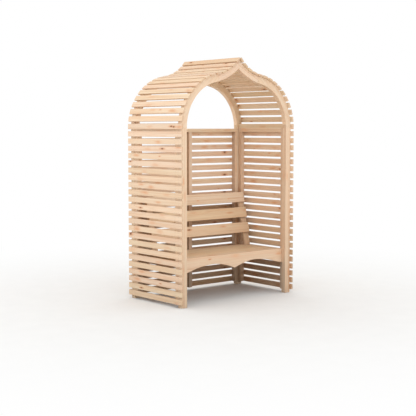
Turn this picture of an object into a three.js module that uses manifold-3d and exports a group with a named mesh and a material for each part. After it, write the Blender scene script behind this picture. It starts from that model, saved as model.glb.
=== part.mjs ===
// Arbour seat: an ogee-roofed garden shelter in slatted softwood with a bench inside.
// Millimetres, +X to the sitter's left, +Y to the back, +Z up.
// The origin is on the ground, under the middle of the overall box.
import * as THREE from "three";
import { mergeVertices } from "three/addons/utils/BufferGeometryUtils.js";
import Module from "manifold-3d";

const wasm = await Module();
wasm.setup();

// Overall sizes
const overallWidth = 1300;
const overallDepth = 750;
const wallHeight = 1500;

// Fits
const fitGap = 0.3;
const arris = 1.5;

// Slats of the walls and the roof
const slatWidth = 46;
const slatThickness = 16;
const slatPitch = 63.5;
const slatOverhang = 24;
const lowestSlatHeight = 28.5;
const wallSlatCount = 24;
const roofSlatCount = 14;
const backSlatCount = 23;

// Posts and arches are of one stock
const frameWidth = 60;
const frameThickness = 45;

// Ogee arch: a round shoulder below, a reverse curve up to the ridge.
// Its soffit and its outer edge each meet the ridge at an angle of their own.
const shoulderRadius = 392;
const crownRadius = 608;
const soffitRidgeAngle = THREE.MathUtils.degToRad(51.35);
const crownEdgeRadius = 373;
const edgeRidgeAngle = THREE.MathUtils.degToRad(37);
const halvingLength = 70;
const facetRun = 25;
const ridgeSlatGap = 1;

// Battens behind the slats
const battenWidth = 38;
const battenDepth = 44;
const edgeBattenWidth = 25;
const sillHeight = 31;

// Seat
const seatHeight = 403;
const seatBoardWidth = 92;
const seatBoardThickness = 22;
const seatBoardGap = 3;
const bearerWidth = 44;
const bearerHeight = 60;

// Apron: a cupid's bow sawn out of the lower edge, its depths taken from the top of the seat
const apronThickness = 22;
const apronEndDepth = 127;
const apronDropDepth = 116;
const apronCrownDepth = 68;
const apronCrownX = 240;
const apronEndRise = 35;
const apronEndHandle = 130;
const apronOuterHandle = 150;
const apronInnerHandle = 110;
const apronDropHandle = 60;
const apronDropRise = 6;
const apronCurveSteps = 14;

// Backrest: three boards on two raked supports that stand on the seat
const backrestRake = THREE.MathUtils.degToRad(13.75);
const backrestSetback = 209;
const backrestBoardWidth = 95;
const backrestBoardThickness = 20;
const backrestBoardGap = 50;
const backrestBoardCount = 3;
const backrestLift = 123;
const backrestSupportWidth = 60;
const backrestSupportThickness = 20;

// Places that follow from the sizes
const wallX = overallWidth / 2 - slatThickness;
const soffitX = wallX - frameWidth;
const battenX = wallX - battenDepth;
const frontEnd = -overallDepth / 2;
const frontFrameY = frontEnd + slatOverhang;
const frontFrameBackY = frontFrameY + frameThickness;
const rearFrameBackY = -frontFrameY;
const rearFrameY = -frontFrameBackY;
const apronBackY = frontFrameBackY + apronThickness;
const backrestFootY = rearFrameY - backrestSetback;
const supportFrontY = backrestBoardThickness + fitGap;
const supportBackY = supportFrontY + backrestSupportThickness;
const shoulderCentre = new THREE.Vector2(soffitX - shoulderRadius, wallHeight);

const group = new THREE.Group();

function pine(color) {
  return new THREE.MeshStandardMaterial({ color, roughness: 0.72, metalness: 0 });
}

function addPiece(name, geometry, color, parent = group) {
  const mesh = new THREE.Mesh(geometry, pine(color));
  mesh.name = name;
  parent.add(mesh);
  return mesh;
}

// A sawn bar, square with eased edges, its length along Z and its middle at the origin
function bar(width, height, length) {
  const x = width / 2;
  const y = height / 2;
  const corners = [
    [arris - x, -y], [x - arris, -y], [x, arris - y], [x, y - arris],
    [x - arris, y], [arris - x, y], [-x, y - arris], [-x, arris - y],
  ];
  const section = new THREE.Shape(corners.map(([u, v]) => new THREE.Vector2(u, v)));
  const geometry = new THREE.ExtrudeGeometry(section, { depth: length, bevelEnabled: false });
  return geometry.translate(0, 0, -length / 2);
}

// Bars laid along one axis between two corners of the box that they fill
function boxBar(low, high, grain) {
  const size = high.map((value, axis) => value - low[axis]);
  const middle = high.map((value, axis) => (value + low[axis]) / 2);
  const laid = {
    x: () => bar(size[2], size[1], size[0]).rotateY(Math.PI / 2),
    y: () => bar(size[0], size[2], size[1]).rotateX(Math.PI / 2),
    z: () => bar(size[0], size[1], size[2]),
  };
  return laid[grain]().translate(...middle);
}

// The same box on the left, side -1, or on the right, side 1
function sideBar(side, low, high, grain) {
  const near = [Math.min(side * low[0], side * high[0]), low[1], low[2]];
  const far = [Math.max(side * low[0], side * high[0]), high[1], high[2]];
  return boxBar(near, far, grain);
}

function toSolid(geometry) {
  const bare = geometry.clone();
  bare.deleteAttribute("normal");
  bare.deleteAttribute("uv");
  const merged = mergeVertices(bare);
  const vertProperties = new Float32Array(merged.attributes.position.array);
  const triVerts = new Uint32Array(merged.index.array);
  return new wasm.Manifold(new wasm.Mesh({ numProp: 3, vertProperties, triVerts }));
}

function fuse(geometries) {
  const whole = geometries.map(toSolid).reduce((sum, solid) => sum.add(solid));
  const { vertProperties, triVerts } = whole.getMesh();
  const geometry = new THREE.BufferGeometry();
  geometry.setAttribute("position", new THREE.BufferAttribute(vertProperties, 3));
  geometry.setIndex(new THREE.BufferAttribute(triVerts, 1));
  geometry.computeVertexNormals();
  return geometry;
}

// A flat outline in X and Z, given its thickness from the front face to the back face
function plate(points, frontY, backY) {
  const shape = new THREE.Shape(points);
  const depth = backY - frontY;
  const geometry = new THREE.ExtrudeGeometry(shape, { depth, bevelEnabled: false });
  return geometry.rotateX(Math.PI / 2).translate(0, backY, 0);
}

// One line of the arch: it turns where the shoulder's arc is tangent to the crown's arc.
// A place on it is a run along the line from the spring.
class OgeeLine {
  constructor(shoulder, crown, ridgeAngle) {
    this.shoulder = shoulder;
    this.crown = crown;
    const reach = crown * Math.cos(ridgeAngle) - shoulderCentre.x;
    this.turn = Math.acos(reach / (shoulder + crown));
    this.turnRun = shoulder * this.turn;
    const towardsCrown = new THREE.Vector2(Math.cos(this.turn), Math.sin(this.turn));
    this.crownCentre = shoulderCentre.clone().addScaledVector(towardsCrown, shoulder + crown);
  }

  // Direction of the outward normal
  angle(run) {
    return run <= this.turnRun ? run / this.shoulder : this.turn - (run - this.turnRun) / this.crown;
  }

  // A point of the right half: rise is its height over the line
  point(run, rise = 0) {
    const angle = this.angle(run);
    const normal = new THREE.Vector2(Math.cos(angle), Math.sin(angle));
    if (run <= this.turnRun) {
      return normal.multiplyScalar(this.shoulder + rise).add(shoulderCentre);
    }
    return normal.multiplyScalar(rise - this.crown).add(this.crownCentre);
  }

  // The run at which the line meets the mitre on the centre plane
  ridgeRun() {
    const angle = Math.acos((this.crownCentre.x - fitGap / 2) / this.crown);
    return this.turnRun + (this.turn - angle) * this.crown;
  }

  points(from, to) {
    const steps = Math.ceil((to - from) / facetRun);
    return Array.from({ length: steps + 1 }, (_, step) =>
      this.point(THREE.MathUtils.lerp(from, to, step / steps)));
  }
}

const outerEdge = new OgeeLine(shoulderRadius + frameWidth, crownEdgeRadius, edgeRidgeAngle);
const soffit = new OgeeLine(shoulderRadius, crownRadius, soffitRidgeAngle);
const archLines = [outerEdge, soffit];

// A saw cut across the arch: its runs on the two lines
const springCut = archLines.map(() => 0);
const ridgeCut = archLines.map((line) => line.ridgeRun());

function cutNearTurn(offset) {
  return archLines.map((line) => line.shoulder * soffit.turn + offset);
}

// One leaf of an arch segment, half the frame's thickness, between two cuts
function archLeaf(side, from, to, frontY, backY) {
  const [outer, inner] = archLines.map((line, index) => line.points(from[index], to[index]));
  const points = [...outer, ...inner.reverse()];
  return plate(points.map((point) => new THREE.Vector2(side * point.x, point.y)), frontY, backY);
}

// The shoulder and the crown are halved together over the turn of the curve
function addArch(end, frontY, color) {
  const midY = frontY + frameThickness / 2;
  const backY = frontY + frameThickness;
  const lap = halvingLength / 2;
  for (const [hand, side] of [["right", 1], ["left", -1]]) {
    const shoulder = [
      archLeaf(side, springCut, cutNearTurn(lap), frontY, midY),
      archLeaf(side, springCut, cutNearTurn(-lap), midY, backY),
    ];
    addPiece(`${end}_${hand}_arch_shoulder`, fuse(shoulder), color);
    const crown = [
      archLeaf(side, cutNearTurn(fitGap + lap), ridgeCut, frontY, midY),
      archLeaf(side, cutNearTurn(fitGap - lap), ridgeCut, midY, backY),
    ];
    addPiece(`${end}_${hand}_arch_crown`, fuse(crown), color);
  }
}

function addPosts(color) {
  const ends = [["front", frontFrameY, frontFrameBackY], ["rear", rearFrameY, rearFrameBackY]];
  for (const [end, frontY, backY] of ends) {
    for (const [hand, side] of [["right", 1], ["left", -1]]) {
      const post = sideBar(side, [soffitX, frontY, 0], [wallX, backY, wallHeight], "z");
      addPiece(`${end}_${hand}_post`, post, color);
    }
  }
}

function slatBottom(index) {
  return lowestSlatHeight + index * slatPitch;
}

// Slats nailed to two battens and a top rail, which stand between the posts
function addSideWall(hand, side, color) {
  const frontBattenBackY = frontFrameBackY + battenWidth;
  const rearBattenY = rearFrameY - battenWidth;
  const bars = [
    sideBar(side, [battenX, frontFrameBackY, lowestSlatHeight], [wallX, frontBattenBackY, wallHeight], "z"),
    sideBar(side, [battenX, rearBattenY, lowestSlatHeight], [wallX, rearFrameY, wallHeight], "z"),
    sideBar(side, [battenX, frontBattenBackY, wallHeight - battenWidth],
      [wallX, rearBattenY, wallHeight], "y"),
  ];
  for (let index = 0; index < wallSlatCount; index += 1) {
    const bottom = slatBottom(index);
    const low = [wallX, frontEnd, bottom];
    const high = [wallX + slatThickness, -frontEnd, bottom + slatWidth];
    bars.push(sideBar(side, low, high, "y"));
  }
  addPiece(`${hand}_side_wall`, fuse(bars), color);
}

// The roof's own bottom rail lies on the wall's top rail, between the arches
function addRoofRail(hand, side, color) {
  const low = [battenX, frontFrameBackY, wallHeight];
  const high = [wallX, rearFrameY, wallHeight + battenWidth];
  addPiece(`${hand}_roof_rail`, sideBar(side, low, high, "y"), color);
}

// Roof slats carry on from the wall slats, evenly over the shoulder and up to the ridge
function addRoofSlats(hand, side, color) {
  const lastWallRun = slatBottom(wallSlatCount - 1) + slatWidth / 2 - wallHeight;
  const ridgeSlatRun = outerEdge.ridgeRun() - ridgeSlatGap - slatWidth / 2;
  const roofPitch = (ridgeSlatRun - lastWallRun) / roofSlatCount;
  const hollowLift = slatWidth ** 2 / (8 * crownEdgeRadius);
  for (let count = 1; count <= roofSlatCount; count += 1) {
    const run = lastWallRun + count * roofPitch;
    const onHollow = run + slatWidth / 2 > outerEdge.turnRun;
    const underside = fitGap + (onHollow ? hollowLift : 0);
    const middle = outerEdge.point(run, underside + slatThickness / 2);
    const slat = bar(slatWidth, slatThickness, overallDepth).rotateX(Math.PI / 2);
    const number = String(count).padStart(2, "0");
    const mesh = addPiece(`${hand}_roof_slat_${number}`, slat, color);
    mesh.position.set(side * middle.x, 0, middle.y);
    mesh.rotation.y = side * (Math.PI / 2 - outerEdge.angle(run));
  }
}

// Slats nailed to the backs of the rear posts, a centre batten and two edge battens
function addBackPanel(color) {
  const sillZ = wallHeight - battenWidth;
  const bars = [
    boxBar([-battenWidth / 2, rearFrameY, lowestSlatHeight], [battenWidth / 2, rearFrameBackY, sillZ], "z"),
  ];
  for (const side of [1, -1]) {
    const low = [soffitX - edgeBattenWidth, rearFrameY, lowestSlatHeight];
    bars.push(sideBar(side, low, [soffitX, rearFrameBackY, sillZ], "z"));
  }
  for (let index = 0; index < backSlatCount; index += 1) {
    const bottom = slatBottom(index);
    const reach = wallX - fitGap;
    const low = [-reach, rearFrameBackY, bottom];
    const high = [reach, rearFrameBackY + slatThickness, bottom + slatWidth];
    bars.push(boxBar(low, high, "x"));
  }
  addPiece("back_panel", fuse(bars), color);
  const sill = boxBar([-soffitX, rearFrameY, sillZ], [soffitX, rearFrameBackY, sillZ + sillHeight], "x");
  addPiece("window_sill_rail", sill, color);
}

// The boards run back from the apron until they carry the feet of the backrest
function addSeat(color) {
  const reach = battenX - fitGap;
  const undersideZ = seatHeight - seatBoardThickness;
  const boardPitch = seatBoardWidth + seatBoardGap;
  const footBackY = backrestFootY + supportBackY / Math.cos(backrestRake);
  const boardCount = Math.ceil((footBackY - apronBackY) / boardPitch);
  for (let index = 0; index < boardCount; index += 1) {
    const frontY = apronBackY + seatBoardGap + index * boardPitch;
    const low = [-reach, frontY, undersideZ];
    const high = [reach, frontY + seatBoardWidth, seatHeight];
    addPiece(`seat_board_${index + 1}`, boxBar(low, high, "x"), color);
  }
  const bearerZ = undersideZ - bearerHeight;
  for (const [place, side] of [["right", 1], ["left", -1]]) {
    const low = [battenX - bearerWidth, apronBackY, bearerZ];
    const bearer = sideBar(side, low, [battenX, rearFrameY, undersideZ], "y");
    addPiece(`${place}_seat_bearer`, bearer, color);
  }
  const low = [-bearerWidth / 2, apronBackY, bearerZ];
  addPiece("middle_seat_bearer", boxBar(low, [bearerWidth / 2, rearFrameY, undersideZ], "y"), color);
}

// Right half of the bow from the end, over the crown, to the drop in the middle
function bowPoints(reach) {
  const v = (x, y) => new THREE.Vector2(x, y);
  const endZ = seatHeight - apronEndDepth;
  const crownZ = seatHeight - apronCrownDepth;
  const dropZ = seatHeight - apronDropDepth;
  const outer = new THREE.CubicBezierCurve(
    v(reach, endZ),
    v(reach - apronEndHandle, endZ + apronEndRise),
    v(apronCrownX + apronOuterHandle, crownZ),
    v(apronCrownX, crownZ),
  );
  const inner = new THREE.CubicBezierCurve(
    v(apronCrownX, crownZ),
    v(apronCrownX - apronInnerHandle, crownZ),
    v(apronDropHandle, dropZ + apronDropRise),
    v(0, dropZ),
  );
  return [...outer.getPoints(apronCurveSteps), ...inner.getPoints(apronCurveSteps).slice(1)];
}

function addApron(color) {
  const reach = battenX - fitGap;
  const endZ = seatHeight - apronEndDepth;
  const half = bowPoints(soffitX);
  const mirrored = half.slice(0, -1).reverse().map((point) => new THREE.Vector2(-point.x, point.y));
  const outline = [
    new THREE.Vector2(reach, seatHeight),
    new THREE.Vector2(reach, endZ),
    ...half,
    ...mirrored,
    new THREE.Vector2(-reach, endZ),
    new THREE.Vector2(-reach, seatHeight),
  ];
  const apron = plate(outline, frontFrameBackY, apronBackY);
  addPiece("seat_apron", apron, color);
}

// Built upright, front face on Y = 0 and seat level on Z = 0, then leaned back as one
function addBackrest(color) {
  const backrest = new THREE.Group();
  backrest.position.set(0, backrestFootY, seatHeight);
  backrest.rotation.x = -backrestRake;
  group.add(backrest);
  const boardPitch = backrestBoardWidth + backrestBoardGap;
  for (let index = 0; index < backrestBoardCount; index += 1) {
    const bottom = backrestLift + index * boardPitch;
    const low = [-soffitX, 0, bottom];
    const high = [soffitX, backrestBoardThickness, bottom + backrestBoardWidth];
    addPiece(`backrest_board_${index + 1}`, boxBar(low, high, "x"), color, backrest);
  }
  const top = backrestLift + backrestBoardCount * boardPitch - backrestBoardGap;
  const footAt = (y) => fitGap / Math.cos(backrestRake) + y * Math.tan(backrestRake);
  const outline = [
    [footAt(supportFrontY), supportFrontY],
    [top, supportFrontY],
    [top, supportBackY],
    [footAt(supportBackY), supportBackY],
  ];
  const shape = new THREE.Shape(outline.map(([z, y]) => new THREE.Vector2(-z, y)));
  for (const [hand, side] of [["right", 1], ["left", -1]]) {
    const inner = side > 0 ? soffitX - backrestSupportWidth : -soffitX;
    const board = new THREE.ExtrudeGeometry(shape, { depth: backrestSupportWidth, bevelEnabled: false });
    addPiece(`${hand}_backrest_support`, board.rotateY(Math.PI / 2).translate(inner, 0, 0), color, backrest);
  }
}

const paleFace = 0xe6c6a2;
const warmFace = 0xdab48c;

addPosts(warmFace);
addArch("front", frontFrameY, warmFace);
addArch("rear", rearFrameY, warmFace);
for (const [hand, side] of [["right", 1], ["left", -1]]) {
  addSideWall(hand, side, paleFace);
  addRoofRail(hand, side, warmFace);
  addRoofSlats(hand, side, paleFace);
}
addBackPanel(paleFace);
addSeat(warmFace);
addApron(warmFace);
addBackrest(warmFace);

export default group;
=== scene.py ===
import math
import random

import bmesh
import bpy
from mathutils import Matrix, Vector


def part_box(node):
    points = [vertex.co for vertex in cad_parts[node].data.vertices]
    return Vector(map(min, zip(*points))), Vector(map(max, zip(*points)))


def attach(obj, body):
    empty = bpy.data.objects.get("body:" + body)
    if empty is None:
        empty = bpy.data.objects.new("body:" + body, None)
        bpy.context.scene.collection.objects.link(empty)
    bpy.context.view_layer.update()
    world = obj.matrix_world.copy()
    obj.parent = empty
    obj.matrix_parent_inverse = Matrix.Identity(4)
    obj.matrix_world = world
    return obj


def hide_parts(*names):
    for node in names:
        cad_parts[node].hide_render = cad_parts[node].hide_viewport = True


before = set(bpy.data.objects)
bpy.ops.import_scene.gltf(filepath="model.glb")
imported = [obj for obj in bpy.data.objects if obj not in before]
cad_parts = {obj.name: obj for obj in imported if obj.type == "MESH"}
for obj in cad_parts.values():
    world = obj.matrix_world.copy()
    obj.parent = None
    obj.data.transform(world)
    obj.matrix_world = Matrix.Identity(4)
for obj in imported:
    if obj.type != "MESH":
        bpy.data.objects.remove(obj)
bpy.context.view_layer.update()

MM = 0.001
X = Vector((1, 0, 0))
Y = Vector((0, 1, 0))
Z = Vector((0, 0, 1))
SIDES = (("right", 1), ("left", -1))

# Places and sizes read from the solids, in metres
post_low, post_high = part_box("front_right_post")
wall_low, wall_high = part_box("right_side_wall")
SOFFIT_X = post_low.x
WALL_X = post_high.x
WALL_HEIGHT = post_high.z
HALF_DEPTH = wall_high.y
FRONT_FRAME_Y = post_low.y
REAR_FRAME_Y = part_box("rear_right_post")[0].y
FRAME_WIDTH = WALL_X - SOFFIT_X
FRAME_THICKNESS = post_high.y - post_low.y
LOWEST_SLAT = wall_low.z
SLAT_THICKNESS = wall_high.x - WALL_X
BATTEN_DEPTH = WALL_X - wall_low.x
BACK_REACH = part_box("back_panel")[1].x
SILL_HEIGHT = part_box("window_sill_rail")[0].z
SEAT_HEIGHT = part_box("seat_apron")[1].z

# Timber and the pattern of the slats, as in the solids
SLAT_WIDTH = 46 * MM
SLAT_PITCH = 63.5 * MM
WALL_SLATS = 24
BACK_SLATS = 23
ROOF_SLATS = 14
SEAT_BOARDS = 5
BACKREST_BOARDS = 3
BATTEN_WIDTH = 38 * MM
EDGE_BATTEN = 25 * MM
BACKREST_RAKE = math.radians(13.75)

# The two lines of an arch and the halved joint between its segments, as in the solids
SHOULDER_RADIUS = 392 * MM
CROWN_RADIUS = 608 * MM
CROWN_EDGE_RADIUS = 373 * MM
SOFFIT_RIDGE_ANGLE = math.radians(51.35)
EDGE_RIDGE_ANGLE = math.radians(37)
HALVING = 70 * MM
FIT_GAP = 0.3 * MM
STATION_STEP = 9 * MM

# Eased edges
ARRIS = 1.6 * MM
RIDGE_ARRIS = 3.4 * MM
SEAT_ARRIS = 2.2 * MM
APRON_ARRIS = 1.5 * MM
ARCH_ARRIS = 1.2 * MM


# Node graphs

NODE_SPACING = 220
NODES_IN_A_ROW = 12


class Graph:
    """Short ways to add and link shader nodes."""

    def __init__(self, tree):
        self.tree = tree
        self.count = 0

    def node(self, kind, **values):
        node = self.tree.nodes.new(kind)
        row, column = divmod(self.count, NODES_IN_A_ROW)
        node.location = (NODE_SPACING * column, -NODE_SPACING * row)
        self.count += 1
        for key, value in values.items():
            setattr(node, key, value)
        return node

    def put(self, socket, value):
        if isinstance(value, bpy.types.NodeSocket):
            self.tree.links.new(value, socket)
        elif value is not None:
            socket.default_value = value

    def math(self, operation, a, b=None, c=None, clamp=False):
        node = self.node("ShaderNodeMath", operation=operation, use_clamp=clamp)
        for socket, value in zip(node.inputs, (a, b, c)):
            self.put(socket, value)
        return node.outputs[0]

    def vector(self, operation, a, b=None, out=0):
        node = self.node("ShaderNodeVectorMath", operation=operation)
        self.put(node.inputs[0], a)
        self.put(node.inputs[1], b)
        return node.outputs[out]

    def length(self, vector):
        return self.vector("LENGTH", vector, out=1)

    def split(self, vector):
        node = self.node("ShaderNodeSeparateXYZ")
        self.put(node.inputs[0], vector)
        return tuple(node.outputs)

    def attribute(self, name, output="Vector", kind="GEOMETRY"):
        return self.node("ShaderNodeAttribute", attribute_name=name, attribute_type=kind).outputs[output]

    def object_values(self, name):
        return self.split(self.attribute(name, kind="OBJECT"))

    def noise(self, vector, scales, detail=2.0, roughness=0.5):
        """Noise with its own scale, in cycles a metre, for each direction of the vector."""
        node = self.node("ShaderNodeTexNoise", noise_dimensions="3D")
        self.put(node.inputs["Vector"], self.vector("MULTIPLY", vector, scales))
        self.put(node.inputs["Scale"], 1.0)
        self.put(node.inputs["Detail"], detail)
        self.put(node.inputs["Roughness"], roughness)
        return node.outputs["Fac"]

    def line_noise(self, value, scale):
        node = self.node("ShaderNodeTexNoise", noise_dimensions="1D")
        self.put(node.inputs["W"], value)
        self.put(node.inputs["Scale"], scale)
        self.put(node.inputs["Detail"], 1.0)
        self.put(node.inputs["Roughness"], 0.5)
        return node.outputs["Fac"]

    def smooth(self, value, low, high, to_low=0.0, to_high=1.0):
        node = self.node("ShaderNodeMapRange", interpolation_type="SMOOTHSTEP")
        for socket, number in zip(node.inputs, (value, low, high, to_low, to_high)):
            self.put(socket, number)
        return node.outputs[0]

    def mix(self, factor, a, b, blend="MIX"):
        node = self.node("ShaderNodeMix", data_type="RGBA", blend_type=blend)
        self.put(node.inputs[0], factor)
        self.put(node.inputs[6], a)
        self.put(node.inputs[7], b)
        return node.outputs[2]

    def mix_shaders(self, factor, a, b):
        node = self.node("ShaderNodeMixShader")
        for socket, value in zip(node.inputs, (factor, a, b)):
            self.put(socket, value)
        return node.outputs[0]


def new_material(name):
    material = bpy.data.materials.new(name)
    material.use_nodes = True
    material.node_tree.nodes.clear()
    return material, Graph(material.node_tree)


# Wood

# Every board has its place in a log: the layer "wood" gives a point's place along the grain and
# its two distances from the pith, in metres, and a knot is a branch that leaves the pith.

WHITE = (1, 1, 1, 1)
BLUSH = (1.02, 0.93, 0.86, 1)
RESIN = (0.77, 0.41, 0.22, 1)
DEEP_RESIN = (0.55, 0.23, 0.11, 1)
KNOT_HALO = (0.68, 0.32, 0.15, 1)
KNOT_RIM = (0.19, 0.065, 0.032, 1)
KNOT_HEART = (0.30, 0.115, 0.055, 1)
# Sawn slat edges: partly their own rougher colour, partly painted shade in the gaps between slats
SAWN_EDGE_AND_GAP_SHADE = (0.80, 0.73, 0.65, 1)
SAWN_END = (0.55, 0.34, 0.19, 1)
# Painted shade in the nooks: the colour turns warm and dark where an ambient-occlusion node, reaching as
# far as NOOK_REACH, finds the space around closed
NOOK_SHADE = (0.60, 0.49, 0.40, 1)
NOOK_REACH = 0.45
NOOK_OPENNESS = (0.04, 0.5)

# Scales of noise, in cycles a metre along the grain and across it in both directions
STREAK_SCALES = (4, 150, 150)
FIBRE_SCALES = (70, 1900, 1900)
DRIFT_SCALES = (2.2, 30, 30)
LINE_SCALES = (0.9, 85, 85)
BLUSH_SCALES = (3.0, 48, 48)
SWAY_SCALES = (1.1, 7, 7)
RIPPLE_SCALES = (9, 60, 60)
KNOT_EDGE_SCALES = (60, 220, 220)
PATCH_EDGE_SCALES = (13, 230, 230)

# Growth rings: their width and how far they stray, the share of a year in which the late wood
# rises and falls, and how strong it is in the weakest and the strongest year
RING_WIDTH = 3.4 * MM
RING_SWAY = 26 * MM
RING_RIPPLE = 2 * MM
KNOT_PUSH = 6 * MM
YEAR_STRAY = 5.0
YEAR_STRAY_SCALE = 70.0
LATE_RISE = (0.25, 0.92)
LATE_FALL = (0.93, 1.0)
YEAR_STRENGTHS = (0.35, 1.0)
YEAR_STRENGTH_SCALE = 0.73

# The width of a knot, its halo and a resin patch, as shares of their length along the grain
KNOT_SHARE = 0.42
HALO_SHARE = 0.26
PATCH_SHARE = 0.24
MARK_SLOTS = 3

# The distances, in a mark's own radius, between which its parts, its push on the rings and its
# relief fade away, and the factors by which a ragged edge changes the distance
HEART_BAND = (0.25, 0.8)
RIM_BAND = (0.75, 1.35)
HALO_BAND = (0.7, 3.0)
PUSH_BAND = (0.7, 3.6)
RELIEF_BAND = (0.6, 1.2)
PATCH_BAND = (0.2, 1.25)
KNOT_EDGES = (0.72, 1.28)
PATCH_EDGES = (0.5, 1.5)

# How strong each thing is in the colour
DRIFT_SHARE = 1.5
STREAK_SHARE = 0.9
END_RING_SHARE = 0.35
FIBRE_SHARE = 0.16
BLUSH_SHARE = 0.6
HALO_STRENGTH = 0.75
RIM_STRENGTH = 0.95
HEART_STRENGTH = 0.6
SAWN_END_SHARE = 0.28
ARRIS_SHARES = (0.05, 0.3)

# Relief and gloss
FIBRE_RELIEF = 0.55
RING_RELIEF = 0.5
KNOT_RELIEF = 0.8
RELIEF_DEPTH = 0.35 * MM
RELIEF_STRENGTH = 0.35
WOOD_ROUGHNESS = 0.52
FIBRE_ROUGHNESS = 0.22
END_ROUGHNESS = 0.15
WOOD_SPECULAR = 0.32


def strongest(g, fields):
    result = fields[0]
    for field in fields[1:]:
        result = g.math("MAXIMUM", result, field)
    return result


def faded(g, reach, band, depth):
    """As strong as depth on the near side of the band, and nothing beyond it."""
    return g.math("MULTIPLY", g.smooth(reach, *band, 1.0, 0.0), depth)


def branch_reaches(g, axes, name, shares):
    """The distance from a branch in its own radius, once for each share of width to length."""
    x, y, z = axes
    place, cosine, sine = g.object_values(name)
    squares = g.math("ADD", g.math("MULTIPLY", cosine, cosine), g.math("MULTIPLY", sine, sine))
    along = g.math("MULTIPLY", g.math("SUBTRACT", x, place), g.math("SQRT", squares))
    across = g.math("SUBTRACT", g.math("MULTIPLY", y, cosine), g.math("MULTIPLY", z, sine))
    across_square = g.math("MULTIPLY", across, across)
    reaches = []
    for share in shares:
        drawn = g.math("MULTIPLY", along, share)
        reaches.append(g.math("SQRT", g.math("MULTIPLY_ADD", drawn, drawn, across_square)))
    return reaches


def knot_fields(g, wood, axes):
    """The distance from the nearest knot, and how strong hearts, rims and halos are."""
    ragged = g.smooth(g.noise(wood, KNOT_EDGE_SCALES, 3.0), 0.2, 0.8, *KNOT_EDGES)
    nearest = None
    hearts, rims, halos = [], [], []
    for index, depth in enumerate(g.object_values("knot_depths")):
        close, wide = branch_reaches(g, axes, f"knot{index}", (KNOT_SHARE, HALO_SHARE))
        close = g.math("MULTIPLY", close, ragged)
        nearest = close if nearest is None else g.math("MINIMUM", nearest, close)
        hearts.append(faded(g, close, HEART_BAND, depth))
        rims.append(faded(g, close, RIM_BAND, depth))
        halos.append(faded(g, wide, HALO_BAND, depth))
    return nearest, strongest(g, hearts), strongest(g, rims), strongest(g, halos)


def resin_field(g, wood, axes):
    """How strong the resin-rich patches are, with a ragged outline."""
    cloudy = g.smooth(g.noise(wood, PATCH_EDGE_SCALES, 4.0, 0.6), 0.25, 0.75, *PATCH_EDGES)
    patches = []
    for index, depth in enumerate(g.object_values("patch_depths")):
        reach, = branch_reaches(g, axes, f"patch{index}", (PATCH_SHARE,))
        patches.append(faded(g, g.math("MULTIPLY", reach, cloudy), PATCH_BAND, depth))
    return strongest(g, patches)


def growth_rings(g, wood, nearest_knot):
    """The late wood of each year: a slow rise and a sharp fall, stronger in some years."""
    radius = g.length(g.vector("MULTIPLY", wood, (0, 1, 1)))
    sway = g.noise(wood, SWAY_SCALES)
    ripple = g.noise(wood, RIPPLE_SCALES)
    push = g.math("MULTIPLY", g.smooth(nearest_knot, *PUSH_BAND, 1.0, 0.0), KNOT_PUSH)
    radius = g.math("MULTIPLY_ADD", sway, RING_SWAY, radius)
    radius = g.math("MULTIPLY_ADD", ripple, RING_RIPPLE, radius)
    radius = g.math("ADD", radius, push)
    stray = g.line_noise(radius, YEAR_STRAY_SCALE)
    years = g.math("MULTIPLY_ADD", stray, YEAR_STRAY, g.math("DIVIDE", radius, RING_WIDTH))
    season = g.math("FRACT", years)
    rise = g.smooth(season, *LATE_RISE)
    fall = g.smooth(season, *LATE_FALL, 1.0, 0.0)
    strength = g.line_noise(g.math("FLOOR", years), YEAR_STRENGTH_SCALE)
    strength = g.smooth(strength, 0.3, 0.75, *YEAR_STRENGTHS)
    return g.math("MULTIPLY", g.math("MULTIPLY", rise, fall), strength)


def clear_wood(g, wood, light, middle, late, ring, streak, fibre, end):
    """The colour of the wood between the knots: drift, streaks, rings, dark lines, fibre and blush."""
    base, figure, lines = g.object_values("tone")
    drift = g.noise(wood, DRIFT_SCALES, 3.0, 0.55)
    line = g.smooth(g.noise(wood, LINE_SCALES, 3.0, 0.55), 0.44, 0.66)
    blush = g.smooth(g.noise(wood, BLUSH_SCALES, 3.0, 0.6), 0.4, 0.64)
    amount = g.math("MULTIPLY_ADD", g.math("SUBTRACT", drift, 0.5), DRIFT_SHARE, base, clamp=True)
    amount = g.math("MULTIPLY_ADD", g.math("SUBTRACT", streak, 0.5), STREAK_SHARE, amount, clamp=True)
    colour = g.mix(amount, light, middle)
    rings = g.math("MULTIPLY", ring, g.math("MULTIPLY_ADD", end, END_RING_SHARE, figure))
    colour = g.mix(rings, colour, late)
    colour = g.mix(g.math("MULTIPLY", line, lines), colour, late)
    colour = g.mix(g.smooth(fibre, 0.35, 0.75, 0.0, FIBRE_SHARE), colour, late)
    colour = g.mix(g.math("MULTIPLY", blush, BLUSH_SHARE), colour, BLUSH, "MULTIPLY")
    return g.mix(1.0, colour, g.attribute("tint", kind="OBJECT"), "MULTIPLY")


def marked_wood(g, colour, patch, halo, rim, heart):
    """Resin-rich patches, then knots: a halo drawn along the grain, a dark rim and a brown heart."""
    resin = g.mix(g.smooth(patch, 0.8, 0.9), RESIN, DEEP_RESIN)
    colour = g.mix(patch, colour, resin)
    colour = g.mix(g.math("MULTIPLY", halo, HALO_STRENGTH), colour, KNOT_HALO)
    colour = g.mix(g.math("MULTIPLY", rim, RIM_STRENGTH), colour, KNOT_RIM)
    return g.mix(g.math("MULTIPLY", heart, HEART_STRENGTH), colour, KNOT_HEART)


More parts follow.
